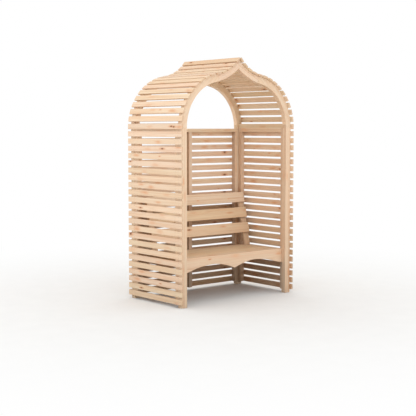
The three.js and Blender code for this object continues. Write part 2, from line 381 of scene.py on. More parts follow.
def worked_wood(g, colour, light, streak, end):
    """Sawn edges are darker, partly as painted shade in the gaps between slats; ends are darker too, and
    the eased arrises a little paler.
    """
    edge = g.attribute("edge", "Fac")
    arris = g.attribute("arris", "Fac")
    colour = g.mix(edge, colour, g.mix(1.0, colour, SAWN_EDGE_AND_GAP_SHADE, "MULTIPLY"))
    colour = g.mix(end, colour, g.mix(SAWN_END_SHARE, colour, SAWN_END))
    paler = g.math("MULTIPLY", arris, g.smooth(streak, 0.35, 0.7, *ARRIS_SHARES))
    return g.mix(paler, colour, light)


def shaded_wood(g, colour):
    """Each side's painted shade and painted light from the dim layer, then a warm painted shade in the
    nooks, where an ambient-occlusion node finds the space around closed.
    """
    nook = g.node("ShaderNodeAmbientOcclusion", samples=12)
    g.put(nook.inputs["Distance"], NOOK_REACH)
    shelter = g.mix(g.smooth(nook.outputs["AO"], *NOOK_OPENNESS), NOOK_SHADE, WHITE)
    return g.mix(1.0, g.mix(1.0, colour, g.attribute("dim"), "MULTIPLY"), shelter, "MULTIPLY")


def pine(name, light, middle, late):
    """Planed softwood, from the colours of its palest, its middling and its late wood."""
    light, middle, late = ((*colour, 1) for colour in (light, middle, late))
    material, g = new_material(name)
    wood = g.attribute("wood")
    end = g.attribute("end", "Fac")
    axes = g.split(wood)
    streak = g.noise(wood, STREAK_SCALES, 4.0, 0.6)
    fibre = g.noise(wood, FIBRE_SCALES, 3.0, 0.6)
    nearest_knot, heart, rim, halo = knot_fields(g, wood, axes)
    patch = resin_field(g, wood, axes)
    ring = growth_rings(g, wood, nearest_knot)

    colour = clear_wood(g, wood, light, middle, late, ring, streak, fibre, end)
    colour = marked_wood(g, colour, patch, halo, rim, heart)
    colour = worked_wood(g, colour, light, streak, end)
    colour = shaded_wood(g, colour)

    height = g.math("MULTIPLY_ADD", fibre, FIBRE_RELIEF, g.math("MULTIPLY", ring, RING_RELIEF))
    knotty = g.smooth(nearest_knot, *RELIEF_BAND, 1.0, 0.0)
    height = g.math("MULTIPLY_ADD", knotty, KNOT_RELIEF, height)
    bump = g.node("ShaderNodeBump")
    g.put(bump.inputs["Strength"], RELIEF_STRENGTH)
    g.put(bump.inputs["Distance"], RELIEF_DEPTH)
    g.put(bump.inputs["Height"], height)
    rough = g.math("MULTIPLY_ADD", end, END_ROUGHNESS, WOOD_ROUGHNESS)
    rough = g.math("MULTIPLY_ADD", fibre, FIBRE_ROUGHNESS, rough, clamp=True)
    shader = g.node("ShaderNodeBsdfPrincipled")
    g.put(shader.inputs["Base Color"], colour)
    g.put(shader.inputs["Roughness"], rough)
    g.put(shader.inputs["Specular IOR Level"], WOOD_SPECULAR)
    g.put(shader.inputs["Normal"], bump.outputs[0])
    out = g.node("ShaderNodeOutputMaterial")
    g.put(out.inputs[0], shader.outputs[0])
    return material


SPECK_SCALES = (900, 900, 900)
STEEL_DARK = (0.33, 0.31, 0.28, 1)
STEEL_LIGHT = (0.52, 0.50, 0.46, 1)
STEEL_METALLIC = 0.85
STEEL_ROUGHNESS = (0.35, 0.6)


def steel(name):
    """Dull galvanised steel with a fine speckle."""
    material, g = new_material(name)
    place = g.node("ShaderNodeTexCoord").outputs["Object"]
    speck = g.noise(place, SPECK_SCALES, 3.0)
    shader = g.node("ShaderNodeBsdfPrincipled")
    g.put(shader.inputs["Base Color"], g.mix(speck, STEEL_DARK, STEEL_LIGHT))
    g.put(shader.inputs["Metallic"], STEEL_METALLIC)
    g.put(shader.inputs["Roughness"], g.smooth(speck, 0.2, 0.8, *STEEL_ROUGHNESS))
    out = g.node("ShaderNodeOutputMaterial")
    g.put(out.inputs[0], shader.outputs[0])
    return material


WOODS = {
    "slat_wood": pine("slat_pine", (0.89, 0.715, 0.55), (0.83, 0.62, 0.45), (0.69, 0.44, 0.275)),
    "frame_wood": pine("frame_pine", (0.885, 0.71, 0.545), (0.82, 0.615, 0.45), (0.69, 0.44, 0.28)),
    "seat_wood": pine("seat_pine", (0.865, 0.685, 0.505), (0.80, 0.585, 0.405), (0.64, 0.38, 0.21)),
}
STEEL = steel("nail_steel")


# Marks

# The knots and resin patches that the photograph shows, by board. Each has a kind and its place
# along and across the board from the middle, in mm. A board that isn't listed has random ones.

DARK, BROWN, PATCH, FAINT = "dark", "brown", "patch", "faint"
MARK_GROUPS = {"knot": (DARK,), "patch": (BROWN, PATCH, FAINT)}
# A mark's radius in mm and its strength, and how many of its kind a board may have at random
MARK_LOOKS = {DARK: (4.8, 1.0), BROWN: (6.5, 0.9), PATCH: (13.0, 0.82), FAINT: (13.0, 0.48)}
RANDOM_MARKS = {DARK: (0,) * 9 + (1,), BROWN: (0, 0, 0, 1), PATCH: (0, 0, 1), FAINT: (0, 1, 1, 2)}
RANDOM_ALONG_SHARES = (-0.45, 0.45)
RANDOM_ACROSS_SHARES = (-0.4, 0.4)
MARK_SIZE_SHARES = (0.85, 1.15)
# An empty slot: a branch far down the log, with no strength
NO_MARK = (0.0, 1000.0, 0.0)
MARKS = {
    "front_left_post_wood": ((PATCH, 309, 10), (FAINT, 190, -8), (FAINT, -430, 10)),
    "front_left_arch_crown_wood": (),
    "front_left_arch_shoulder_wood": (),
    "front_right_post_wood": ((FAINT, 320, 12), (PATCH, -560, -10)),
    "front_right_arch_crown_wood": (),
    "front_right_arch_shoulder_wood": (),
    "rear_right_post_wood": ((FAINT, 90, 0),),
    "right_backrest_support_wood": (),
    "back_batten_middle": (),
    "back_slat_03": ((DARK, 459, -15),),
    "back_slat_07": ((DARK, 459, 14),),
    "back_slat_10": ((DARK, 333, -14),),
    "back_slat_12": ((BROWN, 470, 0),),
    "back_slat_14": ((DARK, 456, 19),),
    "back_slat_15": ((BROWN, 381, -12),),
    "back_slat_17": ((DARK, 456, -10),),
    "back_slat_19": ((BROWN, 533, 5), (FAINT, 266, 8)),
    "back_slat_20": ((DARK, 456, 18),),
    "back_slat_21": ((PATCH, 207, 0), (FAINT, 325, 7), (PATCH, 524, 8)),
    "back_slat_22": ((PATCH, 236, -7),),
    "backrest_board_1_wood": ((PATCH, 258, 23), (DARK, -152, 18)),
    "backrest_board_2_wood": ((PATCH, 367, 1), (FAINT, 560, 15), (FAINT, -70, 26)),
    "backrest_board_3_wood": ((BROWN, 3, -12), (BROWN, 377, -13)),
    "left_roof_slat_02_wood": ((PATCH, -227, 2), (FAINT, 48, -8), (BROWN, -57, -8)),
    "left_roof_slat_04_wood": ((FAINT, 140, -4),),
    "left_roof_slat_13_wood": ((DARK, -252, -19), (BROWN, -288, 19), (BROWN, 55, -14)),
    "left_roof_slat_14_wood": ((DARK, 264, -3),),
    "left_wall_slat_01": ((FAINT, -300, 12),),
    "left_wall_slat_02": ((DARK, 191, 5),),
    "left_wall_slat_03": ((PATCH, 251, -2), (BROWN, -83, 0)),
    "left_wall_slat_04": ((PATCH, 185, -9),),
    "left_wall_slat_05": (),
    "left_wall_slat_06": ((FAINT, -53, 7),),
    "left_wall_slat_08": ((FAINT, -180, 0),),
    "left_wall_slat_09": ((DARK, 343, -12),),
    "left_wall_slat_10": ((PATCH, 254, -1), (FAINT, -78, 0)),
    "left_wall_slat_13": ((DARK, 197, 3),),
    "left_wall_slat_14": ((PATCH, -54, 5),),
    "left_wall_slat_16": ((PATCH, 185, -10), (PATCH, 47, 7)),
    "left_wall_slat_17": ((FAINT, 204, 3),),
    "left_wall_slat_19": ((DARK, 342, -15), (FAINT, -14, 6)),
    "left_wall_slat_20": ((PATCH, 253, -6), (BROWN, -79, -4)),
    "left_wall_slat_21": ((DARK, -115, -5), (FAINT, 88, 0), (PATCH, -330, -19)),
    "left_wall_slat_22": ((PATCH, -61, 3),),
    "left_wall_slat_24": ((DARK, -238, -1), (DARK, -271, 3), (PATCH, -339, 4), (FAINT, 61, 0)),
    "right_roof_slat_01_wood": ((BROWN, 169, -17), (BROWN, 294, 16)),
    "right_roof_slat_02_wood": ((PATCH, 19, 16), (FAINT, -70, 12)),
    "right_roof_slat_03_wood": ((DARK, 299, 12),),
    "right_roof_slat_04_wood": ((BROWN, 289, 14),),
    "right_roof_slat_05_wood": ((BROWN, 316, -17),),
    "right_roof_slat_06_wood": ((DARK, -173, -2),),
    "right_roof_slat_07_wood": ((BROWN, -50, 1), (DARK, 264, -3), (BROWN, -194, 12)),
    "right_roof_slat_09_wood": ((BROWN, -160, 3),),
    "right_wall_slat_08": ((BROWN, -224, -10),),
    "right_wall_slat_09": ((PATCH, 110, 19),),
    "right_wall_slat_10": ((FAINT, 21, 19),),
    "right_wall_slat_12": ((DARK, -225, 19),),
    "right_wall_slat_13": ((PATCH, -142, -4),),
    "right_wall_slat_15": ((FAINT, 187, 6),),
    "right_wall_slat_16": ((PATCH, 141, -6),),
    "right_wall_slat_18": ((PATCH, -120, -2), (DARK, -220, -8)),
    "right_wall_slat_19": ((FAINT, 197, 12),),
    "right_wall_slat_20": ((BROWN, -76, 8), (PATCH, -181, -8)),
    "right_wall_slat_22": ((BROWN, 225, 2),),
    "seat_apron_wood": ((BROWN, -288, 37), (PATCH, 535, 21), (FAINT, 11, 47)),
}


def scattered_marks(rng, length, width):
    """Marks for a board that has none listed: often a patch, sometimes a knot."""
    found = []
    for kind, chances in RANDOM_MARKS.items():
        for _ in range(rng.choice(chances)):
            along = rng.uniform(*RANDOM_ALONG_SHARES) * length
            across = rng.uniform(*RANDOM_ACROSS_SHARES) * width
            found.append((kind, along / MM, across / MM))
    return found


def set_marks(piece, marks, rng, to_branch):
    """Gives the shader each mark as a branch, and how strong it is."""
    for group, kinds in MARK_GROUPS.items():
        chosen = [mark for mark in marks if mark[0] in kinds][:MARK_SLOTS]
        depths = [0.0] * MARK_SLOTS
        for index in range(MARK_SLOTS):
            piece[f"{group}{index}"] = NO_MARK
        for index, (kind, along, across) in enumerate(chosen):
            size, depths[index] = MARK_LOOKS[kind]
            size *= rng.uniform(*MARK_SIZE_SHARES)
            piece[f"{group}{index}"] = to_branch(along * MM, across * MM, size * MM)
        piece[f"{group}_depths"] = depths


# Painted shade and tone

# How much darker or paler than the timber a board looks in the photograph, for the side that is
# seen (shade) and, where they differ, its flanks and ends. This is painted shade and painted light,
# standing in for the light that reaches each side, and in part the board's own tone. A group of
# boards passes its own to finish_piece, and the boards listed here differ from their group.

FRONT_RIGHT_ARCH = {"shade": 0.95, "flank": (1.02, 1.03, 1.02)}
REAR_RIGHT_ARCH = {"shade": (0.95, 1.02, 0.98), "flank": (1.03, 1.05, 1.01)}
PAINTED_SHADES_AND_TONES = {
    "front_left_post_wood": {"shade": (1.04, 1.04, 1.07)},
    "front_right_post_wood": {"shade": 1.02, "flank": 0.97},
    "front_right_arch_shoulder_wood": FRONT_RIGHT_ARCH,
    "front_right_arch_crown_wood": FRONT_RIGHT_ARCH,
    "rear_right_arch_shoulder_wood": REAR_RIGHT_ARCH,
    "rear_right_arch_crown_wood": REAR_RIGHT_ARCH,
    "left_roof_slat_14_wood": {"shade": (0.92, 0.865, 0.76)},
    "right_roof_slat_01_wood": {"shade": (0.9, 0.94, 0.92)},
    "right_roof_slat_14_wood": {"shade": (0.9, 0.94, 0.92)},
    "window_sill_rail_wood": {"shade": (1.0, 1.04, 1.05)},
    "back_batten_middle": {"flank": (0.63, 0.58, 0.51)},
    "back_batten_right": {"shade": (1.06, 1.115, 1.125)},
    "seat_board_2_wood": {"shade": (0.97, 1.02, 1.05)},
    "backrest_board_3_wood": {"shade": (1.06, 1.155, 1.22)},
}

# Painted shade of the slats from the ground up, each up to the slat of that number: darker under
# the seat, behind the backrest and low on the right wall, paler low on the left wall. The inside
# of the right roof is painted paler and yellower.
UNDER_SEAT_SHADE = (0.80, 0.71, 0.64)
UNDER_SEAT_END_SHADE = 0.82
WALL_PAINTED_SHADES = {
    "right": ((6, UNDER_SEAT_SHADE), (11, 0.88), (WALL_SLATS, 0.97)),
    "left": ((7, 1.05), (12, 1.02), (WALL_SLATS, 1.0)),
}
BACK_PAINTED_SHADES = ((6, UNDER_SEAT_SHADE), (13, 0.8), (BACK_SLATS, 0.985))
ROOF_PAINTED_SHADES = {"right": (1.02, 1.07, 1.05), "left": 1.0}


def shade_vector(value):
    return Vector((value, value, value)) if isinstance(value, float) else Vector(value)


def painted_shade_at(number, tones):
    return next(tone for last, tone in tones if number <= last)


def painted_shades_and_tones(name, shade=1.0, flank=None, ends=None):
    own = PAINTED_SHADES_AND_TONES.get(name, {})
    shade = own.get("shade", shade)
    flank = own.get("flank", flank)
    return [shade_vector(tone or shade) for tone in (shade, flank, ends)]


# Boards

# Edges sharper than the first angle are eased, and those sharper than the second are shaded as sharp
EASED_ANGLE = math.radians(28)
SHARP_ANGLE = math.radians(50)

# Cosines that sort the faces of a board into ends, flanks and the side turned away
END_COSINE = 0.6
FLANK_COSINE = 0.75
AWAY_COSINE = 0.5

# How boards differ: their place along the log, and how far the pith lies to the side (a share of
# the width, which counts as 40 mm at least) and below or above, then how dark the wood is, how
# strong its rings and its dark lines are, its brightness, and its turn from pink to yellow
LOG_PLACES = (1, 40)
PITH_SIDE_SHARES = (-0.8, 0.8)
LEAST_PITH_WIDTH = 40 * MM
PITH_DEPTHS = (15 * MM, 95 * MM)
BASES = (0.1, 0.7)
FIGURES = (0.25, 0.5)
LINES = (0.25, 0.6)
LEVELS = (0.965, 1.035)
GREEN_SWING = 0.012
BLUE_SWING = 0.025
BLUE_LEVEL = 0.97


def seed_of(name):
    """A fixed seed from the letters of a name."""
    return sum((index + 7) * ord(letter) * 31 for index, letter in enumerate(name))


def new_object(name, bm, material):
    """Turns the finished mesh into an object of the scene."""
    mesh = bpy.data.meshes.new(name)
    bm.to_mesh(mesh)
    bm.free()
    mesh.materials.append(material)
    thing = bpy.data.objects.new(name, mesh)
    bpy.context.scene.collection.objects.link(thing)
    return thing


def span(points, axis):
    places = [point.dot(axis) for point in points]
    return min(places), max(places)


def ease_edges(bm, bevel):
    """Rounds every sharp edge and returns the new faces."""
    sharp = [edge for edge in bm.edges
             if len(edge.link_faces) == 2 and edge.calc_face_angle() > EASED_ANGLE]
    return bmesh.ops.bevel(bm, geom=sharp, offset=bevel, offset_type="OFFSET", segments=2,
                           profile=0.5, affect="EDGES", clamp_overlap=True)["faces"]


def finish_piece(name, bm, node, slot, along, face, seen=1, bevel=ARRIS, sawn=1.0, **group_painted_shades):
    """Eases a board's edges, gives its wood a place in the log, and hands it to the frame.

    along is the direction of the grain and face that of the wide side. The photograph shows the
    wide side where seen is 1 and the opposite one where it is -1; that side, the flanks and the ends
    are painted darker or paler, painted shade and light with some of the board's own tone, and the
    other of the two keeps the plain tone. The option for sawn edges gives how rough and dark the
    edges of a slat look; the darkening is partly painted shade in the gaps between slats.
    """
    rng = random.Random(seed_of(name))
    shade, flank, ends = painted_shades_and_tones(name, **group_painted_shades)
    wood = bm.verts.layers.float_vector.new("wood")
    arris_layer = bm.faces.layers.float.new("arris")
    end_layer = bm.faces.layers.float.new("end")
    edge_layer = bm.faces.layers.float.new("edge")
    dim_layer = bm.faces.layers.float_vector.new("dim")
    bmesh.ops.recalc_face_normals(bm, faces=bm.faces)
    eased = ease_edges(bm, bevel)

    along = along.normalized()
    across = face.cross(along).normalized()
    face = along.cross(across).normalized()
    axes = (along, across, face)
    points = [vertex.co.copy() for vertex in bm.verts]
    spans = [span(points, axis) for axis in axes]
    middle = [(low + high) / 2 for low, high in spans]
    length, width, thickness = (high - low for low, high in spans)
    shift = rng.uniform(*LOG_PLACES)
    pith_y = rng.uniform(*PITH_SIDE_SHARES) * max(width, LEAST_PITH_WIDTH)
    pith_z = rng.uniform(*PITH_DEPTHS) * rng.choice((-1, 1))
    in_log = Vector((shift, pith_y, pith_z))
    for vertex in bm.verts:
        from_middle = Vector([vertex.co.dot(axis) - value for axis, value in zip(axes, middle)])
        vertex[wood] = from_middle + in_log

    for shape in eased:
        shape[arris_layer] = 1.0
    for shape in bm.faces:
        at_end = abs(shape.normal.dot(along)) > END_COSINE
        sideways = abs(shape.normal.dot(across)) > FLANK_COSINE
        shape[end_layer] = 1.0 if at_end else 0.0
        shape[edge_layer] = sawn if slot == "slat_wood" and sideways else 0.0
        # Painted shade and light: the seen side, the flanks and the ends take their painted shade, and the
        # side turned away stays plain
        if seen * shape.normal.dot(face) < -AWAY_COSINE:
            shape[dim_layer] = shade_vector(1.0)
        elif at_end:
            shape[dim_layer] = ends
        else:
            shape[dim_layer] = flank if sideways else shade
        shape.smooth = True
    piece = new_object(name, bm, WOODS[slot])
    piece.data.set_sharp_from_angle(angle=SHARP_ANGLE)

    def to_branch(place, side, radius):
        """A mark on the side that is seen, as the branch of the pith that comes out there."""
        angle = math.atan2(side + pith_y, pith_z + seen * thickness / 2)
        return (place + shift, math.cos(angle) / radius, math.sin(angle) / radius)

    marks = MARKS[name] if name in MARKS else scattered_marks(rng, length, width)
    set_marks(piece, marks, rng, to_branch)
    piece["tone"] = (rng.uniform(*BASES), rng.uniform(*FIGURES), rng.uniform(*LINES))
    hue = rng.uniform(-1, 1)
    level = rng.uniform(*LEVELS)
    piece["tint"] = (level, level * (1 + GREEN_SWING * hue), level * (BLUE_LEVEL - BLUE_SWING * hue))
    modifier = piece.modifiers.new("normals", "WEIGHTED_NORMAL")
    modifier.keep_sharp = True
    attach(piece, "root")
    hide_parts(node)


def box_mesh(low, high):
    bm = bmesh.new()
    corners = [bm.verts.new((x, y, z))
               for x in (low[0], high[0]) for y in (low[1], high[1]) for z in (low[2], high[2])]
    for quad in ((0, 1, 3, 2), (4, 6, 7, 5), (0, 4, 5, 1), (2, 3, 7, 6), (0, 2, 6, 4), (1, 5, 7, 3)):
        bm.faces.new([corners[index] for index in quad])
    return bm


def box_board(name, low, high, node, slot, along, face, **options):
    finish_piece(name, box_mesh(low, high), node, slot, along, face, **options)


def node_board(node, slot, along, face, **options):
    low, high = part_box(node)
    box_board(f"{node}_wood", low, high, node, slot, along, face, **options)


def turned_board(node, slot, along, plane, **options):
    """A board that lies along one axis and is turned in the plane of the two others."""
    points = [vertex.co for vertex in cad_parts[node].data.vertices]
    middle = sum(points, Vector()) / len(points)
    offsets = [point - middle for point in points]
    u, v = plane
    uu = sum(offset.dot(u) ** 2 for offset in offsets)
    vv = sum(offset.dot(v) ** 2 for offset in offsets)
    uv = sum(offset.dot(u) * offset.dot(v) for offset in offsets)
    angle = 0.5 * math.atan2(2 * uv, uu - vv)
    wide = (u * math.cos(angle) + v * math.sin(angle)).normalized()
    thick = along.cross(wide).normalized()
    axes = (along, wide, thick)
    bm = box_mesh(*zip(*(span(offsets, axis) for axis in axes)))
    turn = Matrix(axes).transposed()
    for vertex in bm.verts:
        vertex.co = turn @ vertex.co + middle
    outward = thick if thick.z > 0 else -thick
    finish_piece(f"{node}_wood", bm, node, slot, along, outward, **options)


def mirrored(side, low, high):
    """The corners of a box of the right side, on the side that is built."""
    near, far = sorted((side * low[0], side * high[0]))
    return (near, low[1], low[2]), (far, high[1], high[2])


# Arches

class OgeeLine:
    """One line of the arch: a round shoulder, then a reverse curve up to the ridge."""

    def __init__(self, shoulder, crown, ridge_angle):
        self.shoulder = shoulder
        self.crown = crown
        self.centre = Vector((SOFFIT_X - SHOULDER_RADIUS, WALL_HEIGHT))
        reach = crown * math.cos(ridge_angle) - self.centre.x
        self.turn = math.acos(reach / (shoulder + crown))
        self.turn_run = shoulder * self.turn
        towards = Vector((math.cos(self.turn), math.sin(self.turn)))
        self.crown_centre = self.centre + towards * (shoulder + crown)

    def point(self, run):
        """The point at that length along the line from its foot."""
        if run <= self.turn_run:
            angle = run / self.shoulder
            return self.centre + Vector((math.cos(angle), math.sin(angle))) * self.shoulder
        angle = self.turn - (run - self.turn_run) / self.crown
        return self.crown_centre - Vector((math.cos(angle), math.sin(angle))) * self.crown

    def ridge_run(self):
        angle = math.acos((self.crown_centre.x - FIT_GAP / 2) / self.crown)
        return self.turn_run + (self.turn - angle) * self.crown


OUTER = OgeeLine(SHOULDER_RADIUS + FRAME_WIDTH, CROWN_EDGE_RADIUS, EDGE_RIDGE_ANGLE)
SOFFIT = OgeeLine(SHOULDER_RADIUS, CROWN_RADIUS, SOFFIT_RIDGE_ANGLE)


def near_turn(offset):
    """The runs along both lines where the soffit's curve turns, moved by the offset."""
    return (OUTER.shoulder * SOFFIT.turn + offset, SOFFIT.shoulder * SOFFIT.turn + offset)


# Each leaf of a halved joint lies between two of three depths: the front, the middle and the back
LEAVES = {"front": (0, 1), "back": (1, 2)}
SHEETS = {**LEAVES, "both": (0, 2)}


def arch_stations(cuts, kinds):
    """Runs along both lines, close together, and the leaves that each stretch after one has."""
    stations, stretches = [], []
    for start, stop, kind in zip(cuts, cuts[1:], kinds):
        steps = max(2, math.ceil((stop[0] - start[0]) / STATION_STEP))
        for step in range(steps):
            share = step / steps
            stations.append(tuple(a + (b - a) * share for a, b in zip(start, stop)))
            stretches.append(kind)
    return stations + [cuts[-1]], stretches


def arch_piece(node, side, front_y, cuts, kinds):
    """A loft along the two lines. Each stretch between cuts has a front leaf, a back leaf or both."""
    bm = bmesh.new()
    depths = (front_y, front_y + FRAME_THICKNESS / 2, front_y + FRAME_THICKNESS)
    stations, stretches = arch_stations(cuts, kinds)
    made = {}

    def corner(station, line, depth):
        key = (station, line, depth)
        if key not in made:
            point = (OUTER, SOFFIT)[line].point(stations[station][line])
            made[key] = bm.verts.new((side * point.x, depths[depth], point.y))
        return made[key]

    def cap(station, first, second):
        bm.faces.new([corner(station, 0, first), corner(station, 0, second),
                      corner(station, 1, second), corner(station, 1, first)])

    for index, kind in enumerate(stretches):
        before = stretches[index - 1] if index else None
        after = stretches[index + 1] if index + 1 < len(stretches) else None
        for depth in SHEETS[kind]:
            bm.faces.new([corner(index, 0, depth), corner(index + 1, 0, depth),
                          corner(index + 1, 1, depth), corner(index, 1, depth)])
        for leaf, (first, second) in LEAVES.items():
            if kind not in (leaf, "both"):
                continue
            for line in (0, 1):
                bm.faces.new([corner(index, line, first), corner(index + 1, line, first),
                              corner(index + 1, line, second), corner(index, line, second)])
            if before not in (leaf, "both"):
                cap(index, first, second)
            if after not in (leaf, "both"):
                cap(index + 1, first, second)
    start, stop = OUTER.point(cuts[0][0]), OUTER.point(cuts[-1][0])
    chord = Vector((side * (stop.x - start.x), 0, stop.y - start.y))
    finish_piece(f"{node}_wood", bm, node, "frame_wood", chord, Y, seen=-1, bevel=ARCH_ARRIS)


def add_arches():
    lap = HALVING / 2
    ridge = (OUTER.ridge_run(), SOFFIT.ridge_run())
    shoulder_cuts = [(0, 0), near_turn(-lap), near_turn(lap)]
    crown_cuts = [near_turn(FIT_GAP - lap), near_turn(FIT_GAP + lap), ridge]
    for end, front_y in (("front", FRONT_FRAME_Y), ("rear", REAR_FRAME_Y)):
        for hand, side in SIDES:
            arch_piece(f"{end}_{hand}_arch_shoulder", side, front_y, shoulder_cuts, ["both", "front"])
            arch_piece(f"{end}_{hand}_arch_crown", side, front_y, crown_cuts, ["back", "both"])


# Posts

def add_posts():
    for hand, _ in SIDES:
        node_board(f"front_{hand}_post", "frame_wood", Z, -Y)
        # The rear posts' inner sides are painted paler and yellower, painted light and tone
        node_board(f"rear_{hand}_post", "frame_wood", Z, Y, seen=-1, shade=(1.0, 1.06, 1.07))


# Walls and roof

# The walls' slats are thinner by this, so that the nail heads stay inside the solids' box
NAIL_ROOM = 0.1 * MM


def slat_bottom(number):
    return LOWEST_SLAT + (number - 1) * SLAT_PITCH


def add_side_wall(hand, side):
    node = f"{hand}_side_wall"
    inward = X * -side
    batten_x = WALL_X - BATTEN_DEPTH
    front_y = FRONT_FRAME_Y + FRAME_THICKNESS
    front_inner_y = front_y + BATTEN_WIDTH
    rear_inner_y = REAR_FRAME_Y - BATTEN_WIDTH
    # The battens are painted darker on their inner sides and a little on their flanks, painted shade; the
    # top rail a touch too
    for place, low_y, high_y in (("front", front_y, front_inner_y), ("rear", rear_inner_y, REAR_FRAME_Y)):
        low, high = mirrored(side, (batten_x, low_y, LOWEST_SLAT), (WALL_X, high_y, WALL_HEIGHT))
        box_board(f"{hand}_wall_batten_{place}", low, high, node, "frame_wood", Z, inward,
                  shade=0.86, flank=0.97)
    low, high = mirrored(side, (batten_x, front_inner_y, WALL_HEIGHT - BATTEN_WIDTH),
                         (WALL_X, rear_inner_y, WALL_HEIGHT))
    box_board(f"{hand}_wall_top_rail", low, high, node, "frame_wood", Y, inward, shade=(0.98, 1.0, 0.97))
    slat_x = WALL_X + SLAT_THICKNESS - NAIL_ROOM
    for number in range(1, WALL_SLATS + 1):
        bottom = slat_bottom(number)
        low, high = mirrored(side, (WALL_X, -HALF_DEPTH, bottom),
                             (slat_x, HALF_DEPTH, bottom + SLAT_WIDTH))
        # Painted shade by height, with darker painted ends under the seat
        tone = painted_shade_at(number, WALL_PAINTED_SHADES[hand])
        box_board(f"{hand}_wall_slat_{number:02d}", low, high, node, "slat_wood", Y, -inward,
                  seen=-side, shade=tone, ends=UNDER_SEAT_END_SHADE if tone is UNDER_SEAT_SHADE else None)


def add_roof_side(hand, side):
    # Painted shade on the roof rail; the roof slats get less painted gap shade on their edges, and the
    # right roof's inside is painted paler
    node_board(f"{hand}_roof_rail", "frame_wood", Y, X * -side, shade=(0.89, 0.90, 0.87))
    for number in range(1, ROOF_SLATS + 1):
        turned_board(f"{hand}_roof_slat_{number:02d}", "slat_wood", Y, (X, Z), seen=-side,
                     bevel=RIDGE_ARRIS if number == ROOF_SLATS else ARRIS, sawn=0.4,
                     shade=ROOF_PAINTED_SHADES[hand], ends=0.95)


# Back

def add_back():
    rear_y = REAR_FRAME_Y + FRAME_THICKNESS
    battens = (("middle", -BATTEN_WIDTH / 2, BATTEN_WIDTH / 2),
               ("right", SOFFIT_X - EDGE_BATTEN, SOFFIT_X),
               ("left", -SOFFIT_X, EDGE_BATTEN - SOFFIT_X))
    # The battens' flanks are painted darker, painted shade
    for place, low_x, high_x in battens:
        low, high = (low_x, REAR_FRAME_Y, LOWEST_SLAT), (high_x, rear_y, SILL_HEIGHT)
        box_board(f"back_batten_{place}", low, high, "back_panel", "frame_wood", Z, -Y, flank=0.8)
    # Painted shade by height on the back slats: darker under the seat and behind the backrest
    for number in range(1, BACK_SLATS + 1):
        bottom = slat_bottom(number)
        low = (-BACK_REACH, rear_y, bottom)
        high = (BACK_REACH, rear_y + SLAT_THICKNESS, bottom + SLAT_WIDTH)
        box_board(f"back_slat_{number:02d}", low, high, "back_panel", "slat_wood", X, -Y,
                  shade=painted_shade_at(number, BACK_PAINTED_SHADES))
    node_board("window_sill_rail", "frame_wood", X, -Y)


# Apron

# Its lower edge rises from the ends and comes to a point in the middle. The depths are below the
# seat, the crown is the highest part of the bow, and a handle is a Bezier curve's, measured from
# the curve's end that it belongs to.

BOW_END_DEPTH = 124 * MM
BOW_POINT_DEPTH = 123 * MM
BOW_CROWN_DEPTH = 69 * MM
BOW_CROWN_X = 240 * MM
BOW_END_HANDLE = (-84 * MM, 4 * MM)
BOW_CROWN_OUTER_HANDLE = (220 * MM, -6 * MM)
BOW_CROWN_INNER_HANDLE = (-90 * MM, 0)
BOW_POINT_HANDLE = (60 * MM, 22 * MM)
BOW_STEPS = 44


def handled(point, handle):
    return (point[0] + handle[0], point[1] + handle[1])


def bow(reach):
    """The apron's lower edge on the right, from the end to the point, as two curves."""
    end = (reach, SEAT_HEIGHT - BOW_END_DEPTH)
    crown = (BOW_CROWN_X, SEAT_HEIGHT - BOW_CROWN_DEPTH)
    tip = (0, SEAT_HEIGHT - BOW_POINT_DEPTH)
    outer = (end, handled(end, BOW_END_HANDLE), handled(crown, BOW_CROWN_OUTER_HANDLE), crown)
    inner = (crown, handled(crown, BOW_CROWN_INNER_HANDLE), handled(tip, BOW_POINT_HANDLE), tip)
    points = []
    for curve in (outer, inner):
        for step in range(BOW_STEPS + 1):
            t = step / BOW_STEPS
            weights = ((1 - t) ** 3, 3 * t * (1 - t) ** 2, 3 * t * t * (1 - t), t ** 3)
            point = tuple(sum(w * c[axis] for w, c in zip(weights, curve)) for axis in (0, 1))
            if not points or point != points[-1]:
                points.append(point)
    return points


def add_apron():
    low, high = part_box("seat_apron")
    half = bow(SOFFIT_X)
    lower = [(high.x, half[0][1])] + half
    lower += [(-x, z) for x, z in reversed(lower[:-1])]
    bm = bmesh.new()
    rows = [[bm.verts.new((x, y, level)) for y in (low.y, high.y) for level in (z, high.z)]
            for x, z in lower]
    for first, second in zip(rows, rows[1:]):
        for a, b in ((0, 1), (2, 3), (0, 2), (1, 3)):
            bm.faces.new([first[a], second[a], second[b], first[b]])
    for row in (rows[0], rows[-1]):
        bm.faces.new([row[0], row[1], row[3], row[2]])
    # The apron's front is painted paler, painted light
    finish_piece("seat_apron_wood", bm, "seat_apron", "seat_wood", X, -Y, bevel=APRON_ARRIS, shade=1.06)


# Seat and backrest

# A support's points within this reach are joined, and so are its faces within this angle
WELD_REACH = 0.01 * MM
FLAT_ANGLE = math.radians(1)


def add_seat():
    # The seat boards' tops are painted darker and yellower, painted shade
    for number in range(1, SEAT_BOARDS + 1):
        node_board(f"seat_board_{number}", "seat_wood", X, Z, bevel=SEAT_ARRIS, shade=(0.92, 0.966, 0.994))
    for place in ("right", "left", "middle"):
        node_board(f"{place}_seat_bearer", "seat_wood", Y, X)


def support_mesh(node):
    """The solid of a backrest support, with each flat side as one face."""
    bm = bmesh.new()
    bm.from_mesh(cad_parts[node].data)
    bmesh.ops.remove_doubles(bm, verts=bm.verts, dist=WELD_REACH)
    bmesh.ops.dissolve_limit(bm, angle_limit=FLAT_ANGLE, verts=bm.verts, edges=bm.edges)
    return bm


